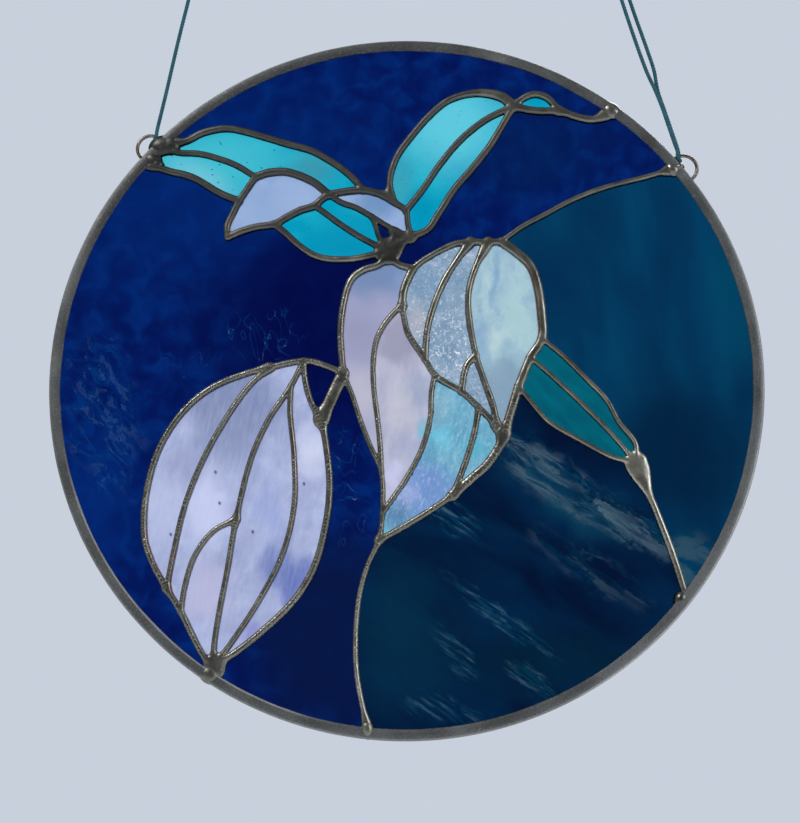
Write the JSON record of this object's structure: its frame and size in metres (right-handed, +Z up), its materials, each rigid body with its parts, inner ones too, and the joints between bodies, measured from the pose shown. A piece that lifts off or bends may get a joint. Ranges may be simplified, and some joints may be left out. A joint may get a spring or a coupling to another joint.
{
  "type": "round stained glass window",
  "caption": "Round hanging stained glass window: cut glass flower, bud and leaves on blue, joined by soldered foil seams, with a lead rim, wire rings and cords.",
  "frame": {"origin": "the level that the cords hang from, midway between their upper ends, in the panel's middle plane", "axes": "+X to the viewer's right, +Z up, the picture faces -Y"},
  "size_m": [0.3, 0.0062, 0.3268],
  "materials": {
    "cobalt_glass": "smooth transparent cobalt blue glass, 3 mm",
    "deep_teal_glass": "smooth transparent blue-green glass, 3 mm",
    "navy_glass": "smooth transparent navy glass, 3 mm",
    "turquoise_glass": "seedy turquoise glass, 3 mm",
    "teal_glass": "smooth teal glass, 3 mm",
    "lilac_glass": "cloudy lilac glass, 3 mm",
    "wispy_glass": "wispy white and lilac glass, 3 mm",
    "icy_glass": "textured icy blue-grey glass, 3 mm",
    "white_opal_glass": "white opal glass with blue wisps, 3 mm",
    "pale_cyan_glass": "textured pale cyan glass, 3 mm",
    "pale_violet_glass": "cloudy pale violet glass, 3 mm",
    "solder": "pewter grey solder beads, lumpy, with copper foil showing at some edges",
    "lead_came": "dull dark grey lead",
    "ring_wire": "tinned wire",
    "cord": "twisted dark teal cord"
  },
  "bodies": {
    "root": {"glass_ground_left": "cobalt_glass", "glass_ground_top": "cobalt_glass", "glass_ground_upper_right": "cobalt_glass", "glass_ground_right": "deep_teal_glass", "glass_ground_low_right": "navy_glass", "glass_ground_low": "cobalt_glass", "glass_stem_gap": "cobalt_glass", "glass_branch_gap": "cobalt_glass", "glass_leaf_left_upper": "turquoise_glass", "glass_leaf_left_lower": "turquoise_glass", "glass_leaf_turned": "lilac_glass", "glass_leaf_low_upper": "turquoise_glass", "glass_leaf_low_lower": "turquoise_glass", "glass_leaf_small": "lilac_glass", "glass_leaf_tall_left": "turquoise_glass", "glass_leaf_tall_right": "turquoise_glass", "glass_tendril": "turquoise_glass", "glass_petal_left": "lilac_glass", "glass_petal_front": "wispy_glass", "glass_petal_icy_left": "icy_glass", "glass_petal_icy_right": "icy_glass", "glass_petal_icy_tip": "icy_glass", "glass_petal_white": "white_opal_glass", "glass_petal_low_left": "pale_cyan_glass", "glass_petal_low_right": "pale_cyan_glass", "glass_bud_left": "pale_violet_glass", "glass_bud_mid_left": "pale_violet_glass", "glass_bud_inner": "pale_violet_glass", "glass_bud_centre": "pale_violet_glass", "glass_bud_right": "pale_violet_glass", "glass_leaf_right_upper": "teal_glass", "glass_leaf_right_lower": "teal_glass", "solder_seams": "solder", "rim_came": "lead_came", "ring_left": "ring_wire", "ring_right": "ring_wire", "cord_left": "cord", "cord_right_front": "cord", "cord_right_back": "cord", "knot_left": "cord", "knot_right_front": "cord", "knot_right_back": "cord"}
  },
  "joints": []
}
